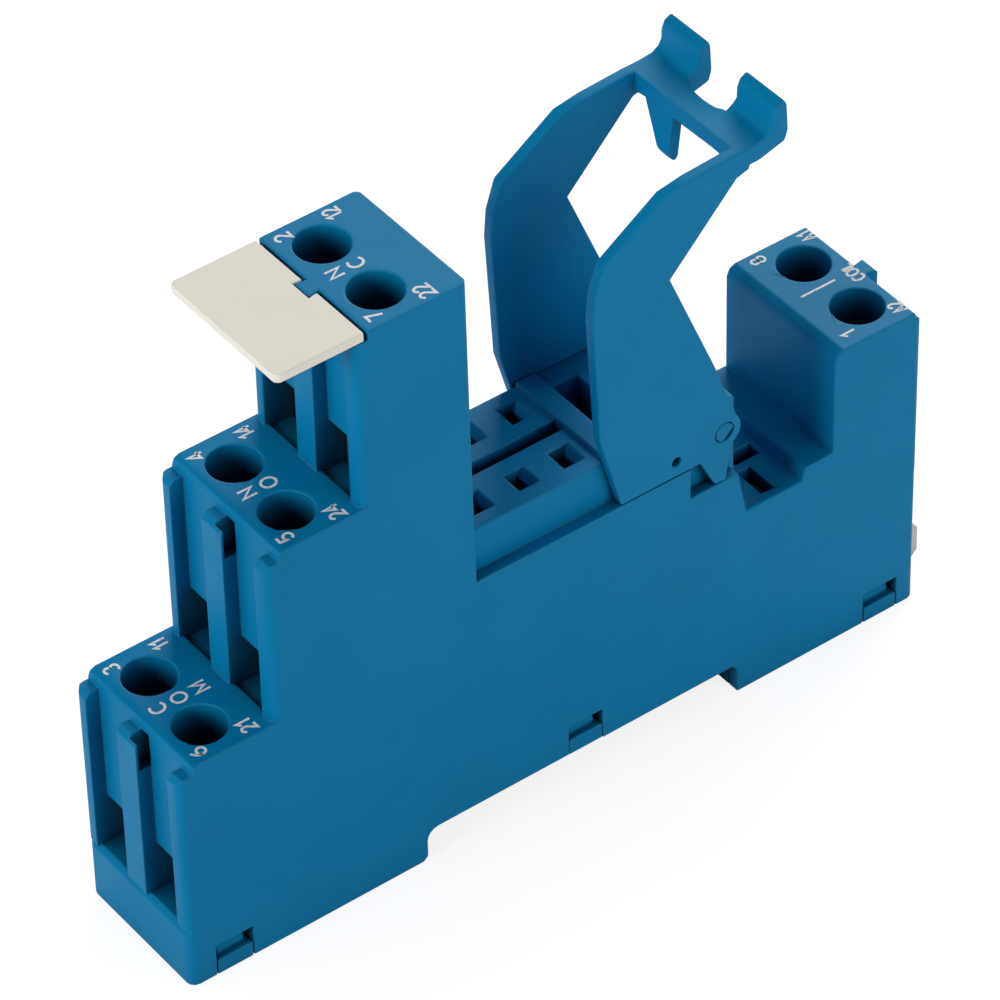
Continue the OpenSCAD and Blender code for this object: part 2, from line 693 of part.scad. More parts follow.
// Side view: hook under the rail, thin slide, grip outside the housing
module foot_outline() {
  x2 = recess_x + recess_w;
  polygon([
    [x2 - hook_reach, 1], [x2 - hook_reach + 0.6, 0.3], [foot_end - 0.8, 0.3], [foot_end, 1.1],
    [foot_end, 3.9], [foot_end - 0.8, 4.8], [body_l + 0.2, 4.8], [body_l + 0.2, foot_t + 0.3],
    [x2 - hook_reach, hook_top - 0.2]
  ]);
}

module rail_foot() {
  x2 = recess_x + recess_w;
  window = foot_w - 2.6;
  color([0.93, 0.93, 0.9]) place() {
    difference() {
      across(-foot_w / 2, foot_w / 2) foot_outline();
      // Window round the stop post
      box(x2 + 2.3, x2 + 17, -window / 2, window / 2, -1, foot_t + 1);
      // Slot for a screwdriver tip
      box(foot_end - 2.2, foot_end - 1, -2, 2, 2.4, 6);
    }
    // Folded spring leaf inside the window
    for (i = [0:3])
      box(x2 + 9.2 + 2 * i, x2 + 10 + 2 * i, -window / 2 + (i % 2) * 0.9,
        window / 2 - (1 - i % 2) * 0.9, 0.5, foot_t);
    for (i = [0:3]) {
      end = (i % 2) * 2 - 1;
      box(x2 + 9.2 + 2 * i, x2 + (i < 3 ? 12 : 17.1) + 2 * i * (i < 3 ? 1 : 0),
        min(-end * (window / 2 - 0.9), -end * (window / 2 - 1.7)),
        max(-end * (window / 2 - 0.9), -end * (window / 2 - 1.7)), 0.5, foot_t);
    }
  }
}

housing();
base_cover();
rail_foot();
retaining_clip();
marker_tag();
contact_com_near();
contact_com_far();
contact_no_near();
contact_no_far();
contact_nc_near();
contact_nc_far();
contact_coil_near();
contact_coil_far();
screw_com_near();
screw_com_far();
screw_no_near();
screw_no_far();
screw_nc_near();
screw_nc_far();
screw_coil_near();
screw_coil_far();
cage_com_near();
cage_com_far();
cage_no_near();
cage_no_far();
cage_nc_near();
cage_nc_far();
cage_coil_near();
cage_coil_far();
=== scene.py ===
import math

import bmesh
import bpy
from mathutils import Matrix, Vector
from mathutils.bvhtree import BVHTree


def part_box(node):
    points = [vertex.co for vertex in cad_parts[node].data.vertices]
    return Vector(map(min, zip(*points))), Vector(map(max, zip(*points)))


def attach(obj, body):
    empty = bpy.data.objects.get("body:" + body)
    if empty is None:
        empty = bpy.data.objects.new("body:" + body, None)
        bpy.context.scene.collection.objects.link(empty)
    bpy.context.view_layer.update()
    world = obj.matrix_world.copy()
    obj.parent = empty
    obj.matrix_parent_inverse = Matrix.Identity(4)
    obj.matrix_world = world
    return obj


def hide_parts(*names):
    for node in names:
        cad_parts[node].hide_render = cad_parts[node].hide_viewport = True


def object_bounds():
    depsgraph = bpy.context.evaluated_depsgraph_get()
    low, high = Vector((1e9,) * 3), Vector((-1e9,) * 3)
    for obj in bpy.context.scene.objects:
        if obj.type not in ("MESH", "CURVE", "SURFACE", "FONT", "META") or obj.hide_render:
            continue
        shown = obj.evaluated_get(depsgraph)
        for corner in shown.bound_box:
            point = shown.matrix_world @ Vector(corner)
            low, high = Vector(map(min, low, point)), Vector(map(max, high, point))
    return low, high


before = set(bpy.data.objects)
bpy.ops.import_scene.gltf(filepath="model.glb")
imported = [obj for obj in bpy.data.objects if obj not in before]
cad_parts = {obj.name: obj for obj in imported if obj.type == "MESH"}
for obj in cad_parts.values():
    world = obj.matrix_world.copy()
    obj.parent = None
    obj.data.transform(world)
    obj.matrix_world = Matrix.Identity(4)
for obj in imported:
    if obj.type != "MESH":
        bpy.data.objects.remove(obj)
cad_low, cad_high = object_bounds()
mm = 0.001

# ---- camera ----
# A long lens looks down on the marked side from the stepped end, so that the
# tiers, the clip and the coil tower all show. It is turned a little sideways.

camera_azimuth = math.radians(-36.1526)
camera_elevation = math.radians(41.8143)
camera_roll = math.radians(-1.3954)
camera_distance = 0.56495
camera_aim = Vector((-0.0020, 0.0016, 0.0251))
look_back = Vector((
    math.sin(camera_azimuth) * math.cos(camera_elevation),
    -math.cos(camera_azimuth) * math.cos(camera_elevation),
    math.sin(camera_elevation),
))
level_right = Vector((math.cos(camera_azimuth), math.sin(camera_azimuth), 0))
level_up = look_back.cross(level_right)
camera_right = math.cos(camera_roll) * level_right + math.sin(camera_roll) * level_up
camera_up = look_back.cross(camera_right)

lens = bpy.data.cameras.new("lens")
lens.lens = 227.09
lens.sensor_width = 36
lens.clip_start = 0.05
lens.clip_end = 20
camera = bpy.data.objects.new("camera", lens)
camera.matrix_world = Matrix((
    (camera_right.x, camera_up.x, look_back.x, 0),
    (camera_right.y, camera_up.y, look_back.y, 0),
    (camera_right.z, camera_up.z, look_back.z, 0),
    (0, 0, 0, 1),
))
camera.location = camera_aim + look_back * camera_distance
bpy.context.scene.collection.objects.link(camera)
bpy.context.scene.camera = camera
bpy.context.scene.view_settings.view_transform = "Standard"

# ---- studio ----
# A pale sweep under the socket and four soft boxes: the key off the stepped end,
# one facing the marked side, one behind the coil tower and a weak one high up.


def soft_box(name, direction, distance, size, watts):
    """Adds a square area light that faces the socket from a direction."""
    light = bpy.data.lights.new(name, "AREA")
    light.shape = "SQUARE"
    light.size = size
    light.energy = watts
    box = bpy.data.objects.new(name, light)
    away = Vector(direction).normalized()
    box.location = camera_aim + away * distance
    box.rotation_mode = "QUATERNION"
    box.rotation_quaternion = away.to_track_quat("Z", "Y")
    bpy.context.scene.collection.objects.link(box)


soft_box("key_light", (-1.0, -0.05, 0.42), 0.9, 0.36, 4.2)
soft_box("front_light", (0.25, -1.0, 0.35), 0.9, 0.8, 4.3)
soft_box("back_light", (0.9, 0.6, 0.55), 0.9, 0.7, 7.0)
soft_box("far_light", (-0.7, 0.5, 0.7), 0.9, 0.42, 1.3)

world = bpy.data.worlds.new("studio_air")
bpy.context.scene.world = world
world.use_nodes = True
world_nodes = world.node_tree.nodes
world_links = world.node_tree.links
ambient = world_nodes["Background"]
ambient.inputs["Color"].default_value = (0.93, 0.96, 1.0, 1)
ambient.inputs["Strength"].default_value = 0.05
backdrop = world_nodes.new("ShaderNodeBackground")
backdrop.inputs["Color"].default_value = (1, 1, 1, 1)
backdrop.inputs["Strength"].default_value = 1.0
seen_directly = world_nodes.new("ShaderNodeLightPath")
backdrop_mix = world_nodes.new("ShaderNodeMixShader")
world_links.new(seen_directly.outputs["Is Camera Ray"], backdrop_mix.inputs["Fac"])
world_links.new(ambient.outputs["Background"], backdrop_mix.inputs[1])
world_links.new(backdrop.outputs["Background"], backdrop_mix.inputs[2])
world_links.new(backdrop_mix.outputs["Shader"], world_nodes["World Output"].inputs["Surface"])

sweep_paint = bpy.data.materials.new("pale_sweep")
sweep_paint.use_nodes = True
sweep_nodes = sweep_paint.node_tree.nodes
sweep_links = sweep_paint.node_tree.links
sweep_nodes.clear()
sweep_diffuse = sweep_nodes.new("ShaderNodeBsdfDiffuse")
sweep_diffuse.inputs["Color"].default_value = (0.82, 0.83, 0.84, 1)
sweep_shadow = sweep_nodes.new("ShaderNodeBsdfDiffuse")
sweep_shadow.inputs["Color"].default_value = (0.34, 0.34, 0.34, 1)
sweep_glow = sweep_nodes.new("ShaderNodeEmission")
sweep_glow.inputs["Color"].default_value = (1, 1, 1, 1)
sweep_glow.inputs["Strength"].default_value = 0.82
sweep_seen = sweep_nodes.new("ShaderNodeAddShader")
sweep_path = sweep_nodes.new("ShaderNodeLightPath")
sweep_mix = sweep_nodes.new("ShaderNodeMixShader")
sweep_out = sweep_nodes.new("ShaderNodeOutputMaterial")
sweep_links.new(sweep_shadow.outputs["BSDF"], sweep_seen.inputs[0])
sweep_links.new(sweep_glow.outputs["Emission"], sweep_seen.inputs[1])
sweep_links.new(sweep_path.outputs["Is Camera Ray"], sweep_mix.inputs["Fac"])
sweep_links.new(sweep_diffuse.outputs["BSDF"], sweep_mix.inputs[1])
sweep_links.new(sweep_seen.outputs["Shader"], sweep_mix.inputs[2])
sweep_links.new(sweep_mix.outputs["Shader"], sweep_out.inputs["Surface"])

sweep_mesh = bpy.data.meshes.new("sweep")
sweep_half = 3.0
sweep_z = cad_low.z - 0.02 * mm
sweep_mesh.from_pydata(
    [(-sweep_half, -sweep_half, sweep_z), (sweep_half, -sweep_half, sweep_z),
     (sweep_half, sweep_half, sweep_z), (-sweep_half, sweep_half, sweep_z)],
    [], [(0, 1, 2, 3)])
sweep_mesh.materials.append(sweep_paint)
sweep = bpy.data.objects.new("sweep", sweep_mesh)
bpy.context.scene.collection.objects.link(sweep)

# ---- housing ----
# One injection moulding in blue glass-filled polyamide: ribs, wire channels,
# driver holes and relay slots in one shot. Its satin skin comes from a
# spark-eroded mould, and its edges are rounded by a fifth of a millimetre.

wet_blue = (0.12, 0.66, 1.0)
merge_gap = 0.002 * mm
flat_bend = math.radians(1)
outer_bend = math.radians(25)
smooth_bend = math.radians(38)
post_bend = math.radians(80)
post_height = 20 * mm
shortest_edge = 0.01 * mm
folded_back = math.radians(15)
straight_on = math.radians(165)
edge_room = 2.4
tries = 10


def moulded_plastic(name, colour, shade, roughness, grain, painted_edge_highlight=0.25,
                    gloss_tint=(1, 1, 1)):
    """Satin moulded plastic: fine mould grain, cloudy flow marks, painted highlights on the
    edges and painted shade in nooks.
    """
    paint = bpy.data.materials.new(name)
    paint.use_nodes = True
    nodes = paint.node_tree.nodes
    links = paint.node_tree.links
    skin = nodes["Principled BSDF"]
    skin.inputs["IOR"].default_value = 1.53
    skin.inputs["Specular IOR Level"].default_value = 0.20
    skin.inputs["Specular Tint"].default_value = (*gloss_tint, 1)
    place = nodes.new("ShaderNodeTexCoord")

    cloud = nodes.new("ShaderNodeTexNoise")
    cloud.inputs["Scale"].default_value = 95
    cloud.inputs["Detail"].default_value = 4
    cloud.inputs["Roughness"].default_value = 0.55
    links.new(place.outputs["Object"], cloud.inputs["Vector"])
    tint = nodes.new("ShaderNodeMix")
    tint.data_type = "RGBA"
    tint.inputs["A"].default_value = (*shade, 1)
    tint.inputs["B"].default_value = (*colour, 1)
    spread = nodes.new("ShaderNodeMapRange")
    spread.inputs["From Min"].default_value = 0.3
    spread.inputs["From Max"].default_value = 0.65
    links.new(cloud.outputs["Fac"], spread.inputs["Value"])
    links.new(spread.outputs["Result"], tint.inputs["Factor"])

    # Painted highlight: near the edges, where the rounded normal turns away from the true
    # normal, a lighter blend of the colour is mixed into the base colour.
    rounded = nodes.new("ShaderNodeBevel")
    rounded.samples = 6
    rounded.inputs["Radius"].default_value = 0.22 * mm
    true_normal = nodes.new("ShaderNodeNewGeometry")
    align = nodes.new("ShaderNodeVectorMath")
    align.operation = "DOT_PRODUCT"
    links.new(rounded.outputs["Normal"], align.inputs[0])
    links.new(true_normal.outputs["Normal"], align.inputs[1])
    edge_highlight_mask = nodes.new("ShaderNodeMapRange")
    edge_highlight_mask.inputs["From Min"].default_value = 0.99
    edge_highlight_mask.inputs["From Max"].default_value = 0.80
    edge_highlight_mask.inputs["To Max"].default_value = painted_edge_highlight
    links.new(align.outputs["Value"], edge_highlight_mask.inputs["Value"])
    painted_highlight_mix = nodes.new("ShaderNodeMix")
    painted_highlight_mix.data_type = "RGBA"
    highlight_colour = tuple(c + (0.75 - c) * 0.30 for c in colour)
    painted_highlight_mix.inputs["B"].default_value = (*highlight_colour, 1)
    links.new(edge_highlight_mask.outputs["Result"], painted_highlight_mix.inputs["Factor"])
    links.new(tint.outputs["Result"], painted_highlight_mix.inputs["A"])
    # Painted shade: ambient occlusion darkens the base colour to as little as 0.22 of itself
    # in nooks, holes, recesses and between parts.
    painted_nook_shade = nodes.new("ShaderNodeAmbientOcclusion")
    painted_nook_shade.samples = 8
    painted_nook_shade.inputs["Distance"].default_value = 7 * mm
    painted_shade_factor = nodes.new("ShaderNodeMapRange")
    painted_shade_factor.interpolation_type = "SMOOTHSTEP"
    painted_shade_factor.inputs["From Min"].default_value = 0.08
    painted_shade_factor.inputs["From Max"].default_value = 0.62
    painted_shade_factor.inputs["To Min"].default_value = 0.22
    links.new(painted_nook_shade.outputs["AO"], painted_shade_factor.inputs["Value"])
    painted_shade_mix = nodes.new("ShaderNodeVectorMath")
    painted_shade_mix.operation = "SCALE"
    links.new(painted_highlight_mix.outputs["Result"], painted_shade_mix.inputs[0])
    links.new(painted_shade_factor.outputs["Result"], painted_shade_mix.inputs["Scale"])
    links.new(painted_shade_mix.outputs["Vector"], skin.inputs["Base Color"])

    pits = nodes.new("ShaderNodeTexNoise")
    pits.inputs["Scale"].default_value = 9000
    pits.inputs["Detail"].default_value = 3
    pits.inputs["Roughness"].default_value = 0.6
    links.new(place.outputs["Object"], pits.inputs["Vector"])
    sink = nodes.new("ShaderNodeTexNoise")
    sink.inputs["Scale"].default_value = 240
    sink.inputs["Detail"].default_value = 2
    links.new(place.outputs["Object"], sink.inputs["Vector"])
    grain_bump = nodes.new("ShaderNodeBump")
    grain_bump.inputs["Strength"].default_value = grain
    grain_bump.inputs["Distance"].default_value = 0.02 * mm
    links.new(pits.outputs["Fac"], grain_bump.inputs["Height"])
    links.new(rounded.outputs["Normal"], grain_bump.inputs["Normal"])
    sink_bump = nodes.new("ShaderNodeBump")
    sink_bump.inputs["Strength"].default_value = 0.12
    sink_bump.inputs["Distance"].default_value = 0.10 * mm
    links.new(sink.outputs["Fac"], sink_bump.inputs["Height"])
    links.new(grain_bump.outputs["Normal"], sink_bump.inputs["Normal"])
    links.new(sink_bump.outputs["Normal"], skin.inputs["Normal"])

    matt = nodes.new("ShaderNodeMapRange")
    matt.inputs["To Min"].default_value = roughness - 0.07
    matt.inputs["To Max"].default_value = roughness + 0.09
    smear = nodes.new("ShaderNodeTexNoise")
    smear.inputs["Scale"].default_value = 420
    smear.inputs["Detail"].default_value = 5
    links.new(place.outputs["Object"], smear.inputs["Vector"])
    links.new(smear.outputs["Fac"], matt.inputs["Value"])
    links.new(matt.outputs["Result"], skin.inputs["Roughness"])
    return paint


def dress(node, paint):
    """Gives a carried-over CAD solid its finish."""
    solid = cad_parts[node]
    solid.data.materials.clear()
    solid.data.materials.append(paint)


def room_beside(edge, reach):
    """True where no short edge or sharp bend beside this edge is in the way."""
    if edge.calc_length() < shortest_edge:
        return False
    for corner in edge.verts:
        along = (edge.other_vert(corner).co - corner.co).normalized()
        for face in edge.link_faces:
            for other in face.edges:
                if other is edge or corner not in other.verts:
                    continue
                away = (other.other_vert(corner).co - corner.co).normalized()
                bend = along.angle(away, 0.0)
                if bend > straight_on:
                    continue
                if bend < folded_back or other.calc_length() < edge_room * reach:
                    return False
    return True


def crossings(shape):
    """Places where faces of the shape cut through each other."""
    test = shape.copy()
    bmesh.ops.triangulate(test, faces=test.faces)
    tree = BVHTree.FromBMesh(test, epsilon=0.0)
    test.faces.ensure_lookup_table()
    places = []
    for i, j in tree.overlap(tree):
        if i < j and not set(test.faces[i].verts) & set(test.faces[j].verts):
            places.append(test.faces[i].calc_center_median())
    test.free()
    return places


def is_near(edge, places, reach):
    """True if one of the places lies within this reach of the edge."""
    start = edge.verts[0].co
    line = edge.verts[1].co - start
    if line.length_squared == 0:
        return True
    for place in places:
        share = min(1.0, max(0.0, (place - start).dot(line) / line.length_squared))
        if (place - start - line * share).length < reach:
            return True
    return False


def soften(node, body, paint, radius, post_radius=0.0):
    """Shows a CAD solid by a copy with its outer edges rounded, as moulded.

    Where rounding makes faces cut through each other, the edges near the cut
    stay sharp at the next try, within a reach that grows with each try.
    """
    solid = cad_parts[node]
    sharp_places = []
    for attempt in range(tries):
        shape = bmesh.new()
        shape.from_mesh(solid.data)
        bmesh.ops.remove_doubles(shape, verts=shape.verts, dist=merge_gap)
        bmesh.ops.dissolve_limit(
            shape, angle_limit=flat_bend, verts=shape.verts, edges=shape.edges)
        if post_radius:
            posts = [
                e for e in shape.edges if e.is_manifold
                and abs(e.verts[0].co.z - e.verts[1].co.z) > post_height
                and abs(e.verts[0].co.y) > cad_high.y - 0.1 * mm
                and e.calc_face_angle_signed() > post_bend]
            bmesh.ops.bevel(
                shape, geom=posts, offset=post_radius, segments=5, profile=0.5,
                affect="EDGES", clamp_overlap=False, offset_type="OFFSET")
        sharp_reach = (4 + 2 * attempt) * radius
        edges = [
            e for e in shape.edges
            if e.is_manifold and e.calc_face_angle_signed() > outer_bend
            and room_beside(e, radius)
            and not is_near(e, sharp_places, sharp_reach)]
        bmesh.ops.bevel(
            shape, geom=edges, offset=radius, segments=2, profile=0.5,
            affect="EDGES", clamp_overlap=False, offset_type="OFFSET")
        places = crossings(shape)
        if not places or attempt == tries - 1:
            break
        sharp_places += places
        shape.free()
    for face in shape.faces:
        face.smooth = True
    for edge in shape.edges:
        edge.smooth = not edge.is_manifold or edge.calc_face_angle() < smooth_bend
    mesh = bpy.data.meshes.new(node + "_moulding")
    shape.to_mesh(mesh)
    shape.free()
    mesh.materials.append(paint)
    draft = bpy.data.objects.new(node + "_draft", mesh)
    bpy.context.scene.collection.objects.link(draft)
    even = draft.modifiers.new("even", "WEIGHTED_NORMAL")
    even.keep_sharp = True
    finished = bpy.data.meshes.new_from_object(
        draft.evaluated_get(bpy.context.evaluated_depsgraph_get()))
    bpy.data.objects.remove(draft)
    moulding = bpy.data.objects.new(node + "_moulding", finished)
    bpy.context.scene.collection.objects.link(moulding)
    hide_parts(node)
    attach(moulding, body)


housing_blue = moulded_plastic(
    "housing_blue", (0.001, 0.198, 0.418), (0.001, 0.183, 0.392), 0.46, 0.35, 0.2, wet_blue)
soften("housing", "housing", housing_blue, 0.18 * mm, 0.75 * mm)

# ---- base cover ----
# A second blue moulding snapped into the underside. It closes the contact
# slots, carries the contacts on its blades and holds the rail with one hook.

cover_blue = moulded_plastic(
    "cover_blue", (0.001, 0.182, 0.390), (0.001, 0.168, 0.365), 0.48, 0.35, 0.2, wet_blue)
soften("base_cover", "housing", cover_blue, 0.12 * mm)

# ---- rail foot ----
# An unpainted white polyamide slide with a folded spring leaf moulded in one
# with it. It grips the second edge of the rail.

foot_white = moulded_plastic(
    "foot_white", (0.66, 0.67, 0.62), (0.62, 0.63, 0.58), 0.50, 0.25)
soften("rail_foot", "rail_foot", foot_white, 0.15 * mm)

# ---- retaining clip ----
# A blue moulding snapped over the housing's two pins. Its prong holds the
# relay down and its two hooks are the finger grip.

clip_blue = moulded_plastic(
    "clip_blue", (0.001, 0.205, 0.430), (0.001, 0.190, 0.405), 0.44, 0.30, 0.2, wet_blue)
soften("retaining_clip", "retaining_clip", clip_blue, 0.20 * mm)

# ---- marker tag ----
# An ivory plate, pushed down over the tall tower's dovetail and left unwritten.

tag_ivory = moulded_plastic(
    "tag_ivory", (0.90, 0.86, 0.765), (0.88, 0.84, 0.745), 0.60, 0.45, 0.15)
soften("marker_tag", "marker_tag", tag_ivory, 0.20 * mm)

# ---- contacts ----
# Stamped and bent from thin brass strip: a clamp bar for the wire, a strip down
# inside the housing and a spring fork that takes the relay's pin.


def bright_metal(name, colour, dark, roughness, brush):
    """Drawn or plated metal with faint lines along one direction and dull spots."""
    paint = bpy.data.materials.new(name)
    paint.use_nodes = True
    nodes = paint.node_tree.nodes
    links = paint.node_tree.links
    skin = nodes["Principled BSDF"]
    skin.inputs["Metallic"].default_value = 1.0
    place = nodes.new("ShaderNodeTexCoord")
    stretch = nodes.new("ShaderNodeMapping")
    stretch.inputs["Scale"].default_value = (brush[0], brush[1], brush[2])
    links.new(place.outputs["Object"], stretch.inputs["Vector"])
    lines = nodes.new("ShaderNodeTexNoise")
    lines.inputs["Scale"].default_value = 1.0
    lines.inputs["Detail"].default_value = 4
    links.new(stretch.outputs["Vector"], lines.inputs["Vector"])
    spots = nodes.new("ShaderNodeTexNoise")
    spots.inputs["Scale"].default_value = 600
    spots.inputs["Detail"].default_value = 3
    links.new(place.outputs["Object"], spots.inputs["Vector"])
    tint = nodes.new("ShaderNodeMix")
    tint.data_type = "RGBA"
    tint.inputs["A"].default_value = (*dark, 1)
    tint.inputs["B"].default_value = (*colour, 1)
    links.new(spots.outputs["Fac"], tint.inputs["Factor"])
    links.new(tint.outputs["Result"], skin.inputs["Base Color"])
    dull = nodes.new("ShaderNodeMapRange")
    dull.inputs["To Min"].default_value = roughness - 0.08
    dull.inputs["To Max"].default_value = roughness + 0.12
    links.new(spots.outputs["Fac"], dull.inputs["Value"])
    links.new(dull.outputs["Result"], skin.inputs["Roughness"])
    rounded = nodes.new("ShaderNodeBevel")
    rounded.samples = 4
    rounded.inputs["Radius"].default_value = 0.08 * mm
    bump = nodes.new("ShaderNodeBump")
    bump.inputs["Strength"].default_value = 0.25
    bump.inputs["Distance"].default_value = 0.01 * mm
    links.new(lines.outputs["Fac"], bump.inputs["Height"])
    links.new(rounded.outputs["Normal"], bump.inputs["Normal"])
    links.new(bump.outputs["Normal"], skin.inputs["Normal"])
    return paint


terminals = ["com", "no", "nc", "coil"]
rows = ["near", "far"]
contact_brass = bright_metal(
    "contact_brass", (0.74, 0.56, 0.27), (0.62, 0.44, 0.20), 0.34, (300, 9000, 9000))
for terminal in terminals:
    for row in rows:
        dress(f"contact_{terminal}_{row}", contact_brass)

# ---- terminal screws ----
# Captive M3 screws of zinc-plated steel under the driver guides. Each is shown
# with its shank cut down to the thread's core and one raised helical ridge.

screw_steel = bright_metal(
    "screw_steel", (0.66, 0.66, 0.64), (0.52, 0.52, 0.50), 0.32, (2500, 2500, 2500))
thread_tree = bpy.data.node_groups.new("screw_thread", "GeometryNodeTree")
thread_sockets = thread_tree.interface
thread_tree.is_modifier = True
thread_sockets.new_socket("Geometry", in_out="INPUT", socket_type="NodeSocketGeometry")
thread_inputs = {}
for label, value in (
        ("Radius", 1.4 * mm), ("Pitch", 0.5 * mm), ("Turns", 10.0), ("Depth", 0.1 * mm)):
    entry = thread_sockets.new_socket(label, in_out="INPUT", socket_type="NodeSocketFloat")
    entry.default_value = value
    thread_inputs[label] = entry.identifier
thread_sockets.new_socket("Geometry", in_out="OUTPUT", socket_type="NodeSocketGeometry")
tree_nodes = thread_tree.nodes
tree_links = thread_tree.links
given = tree_nodes.new("NodeGroupInput")
height = tree_nodes.new("ShaderNodeMath")
height.operation = "MULTIPLY"
tree_links.new(given.outputs["Pitch"], height.inputs[0])
tree_links.new(given.outputs["Turns"], height.inputs[1])
helix = tree_nodes.new("GeometryNodeCurveSpiral")
helix.inputs["Resolution"].default_value = 24
tree_links.new(given.outputs["Turns"], helix.inputs["Rotations"])
tree_links.new(given.outputs["Radius"], helix.inputs["Start Radius"])
tree_links.new(given.outputs["Radius"], helix.inputs["End Radius"])
tree_links.new(height.outputs["Value"], helix.inputs["Height"])
ridge = tree_nodes.new("GeometryNodeCurvePrimitiveCircle")
ridge.inputs["Resolution"].default_value = 4
tree_links.new(given.outputs["Depth"], ridge.inputs["Radius"])
sweep_ridge = tree_nodes.new("GeometryNodeCurveToMesh")
sweep_ridge.inputs["Fill Caps"].default_value = True
tree_links.new(helix.outputs["Curve"], sweep_ridge.inputs["Curve"])
tree_links.new(ridge.outputs["Curve"], sweep_ridge.inputs["Profile Curve"])
realize = tree_nodes.new("GeometryNodeRealizeInstances")
coat = tree_nodes.new("GeometryNodeSetMaterial")
coat.inputs["Material"].default_value = screw_steel
given_back = tree_nodes.new("NodeGroupOutput")
tree_links.new(sweep_ridge.outputs["Mesh"], realize.inputs["Geometry"])
tree_links.new(realize.outputs["Geometry"], coat.inputs["Geometry"])
tree_links.new(coat.outputs["Geometry"], given_back.inputs["Geometry"])

head_height = 2.0 * mm
thread_pitch = 0.5 * mm
core_radius = 1.28 * mm
crest_radius = 1.49 * mm
crest_depth = 0.12 * mm
axis_clear = 0.1 * mm
shank_reach = 1.6 * mm
for terminal in terminals:
    for row in rows:
        screw = f"screw_{terminal}_{row}"
        low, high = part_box(screw)
        middle = (low + high) / 2
        head_under = high.z - head_height
        turns = math.floor((head_under - low.z) / thread_pitch) - 1
        blank = bpy.data.objects.new("thread_draft", bpy.data.meshes.new("blank"))
        bpy.context.scene.collection.objects.link(blank)
        cut = blank.modifiers.new("thread", "NODES")
        cut.node_group = thread_tree
        cut[thread_inputs["Radius"]] = crest_radius - crest_depth
        cut[thread_inputs["Pitch"]] = thread_pitch
        cut[thread_inputs["Turns"]] = float(turns)
        cut[thread_inputs["Depth"]] = crest_depth
        mesh = bpy.data.meshes.new_from_object(
            blank.evaluated_get(bpy.context.evaluated_depsgraph_get()))
        bpy.data.objects.remove(blank)
        mesh.transform(Matrix.Translation((middle.x, middle.y, low.z + thread_pitch / 2)))
        shape = bmesh.new()
        shape.from_mesh(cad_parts[screw].data)
        bmesh.ops.remove_doubles(shape, verts=shape.verts, dist=merge_gap)
        for vertex in shape.verts:
            out = Vector((vertex.co.x - middle.x, vertex.co.y - middle.y, 0))
            on_shank = axis_clear < out.length < shank_reach
            if on_shank and vertex.co.z < head_under + shortest_edge:
                vertex.co += out * (core_radius / out.length - 1)
        shape.from_mesh(mesh)
        shape.to_mesh(mesh)
        shape.free()
        mesh.materials.clear()
        mesh.materials.append(screw_steel)
        threaded = bpy.data.objects.new(screw + "_threaded", mesh)
        bpy.context.scene.collection.objects.link(threaded)
        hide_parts(screw)
        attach(threaded, screw)

# ---- clamp cages ----
# Zinc-plated steel boxes that rise on the screws and press the wire against
# the contact's bar.

cage_steel = bright_metal(
    "cage_steel", (0.60, 0.61, 0.60), (0.46, 0.47, 0.46), 0.38, (9000, 300, 9000))
for terminal in terminals:
    for row in rows:
        dress(f"cage_{terminal}_{row}", cage_steel)

# ---- printed marks ----
# White pad-printed terminal numbers beside the driver holes, read from the
# coil end, and the plain words for the contacts. The ink is a thin film.

ink = bpy.data.materials.new("white_ink")
ink.use_nodes = True
ink_nodes = ink.node_tree.nodes
ink_links = ink.node_tree.links
ink_skin = ink_nodes["Principled BSDF"]
ink_place = ink_nodes.new("ShaderNodeTexCoord")
ink_speckle = ink_nodes.new("ShaderNodeTexNoise")
ink_speckle.inputs["Scale"].default_value = 3800
ink_speckle.inputs["Detail"].default_value = 3
ink_links.new(ink_place.outputs["Object"], ink_speckle.inputs["Vector"])
ink_tint = ink_nodes.new("ShaderNodeMix")
ink_tint.data_type = "RGBA"
ink_tint.inputs["A"].default_value = (0.42, 0.52, 0.58, 1)
ink_tint.inputs["B"].default_value = (0.78, 0.80, 0.80, 1)
ink_cover = ink_nodes.new("ShaderNodeMapRange")
ink_cover.inputs["From Min"].default_value = 0.30
ink_cover.inputs["From Max"].default_value = 0.46
ink_links.new(ink_speckle.outputs["Fac"], ink_cover.inputs["Value"])
ink_links.new(ink_cover.outputs["Result"], ink_tint.inputs["Factor"])
ink_links.new(ink_tint.outputs["Result"], ink_skin.inputs["Base Color"])
ink_skin.inputs["Roughness"].default_value = 0.55

ink_film = 0.015 * mm
cap_height = 1.42 * mm
pen_width = 0.25 * mm
guide_depth = 6.1 * mm
letter_gap = 0.22
sharpest_mitre = 0.45


def arc(x, y, wide, tall, start, end, steps=14):
    """Points on part of an ellipse, between two angles in degrees."""
    turns = [math.radians(start + (end - start) * i / steps) for i in range(steps + 1)]
    return [(x + wide * math.cos(a), y + tall * math.sin(a)) for a in turns]


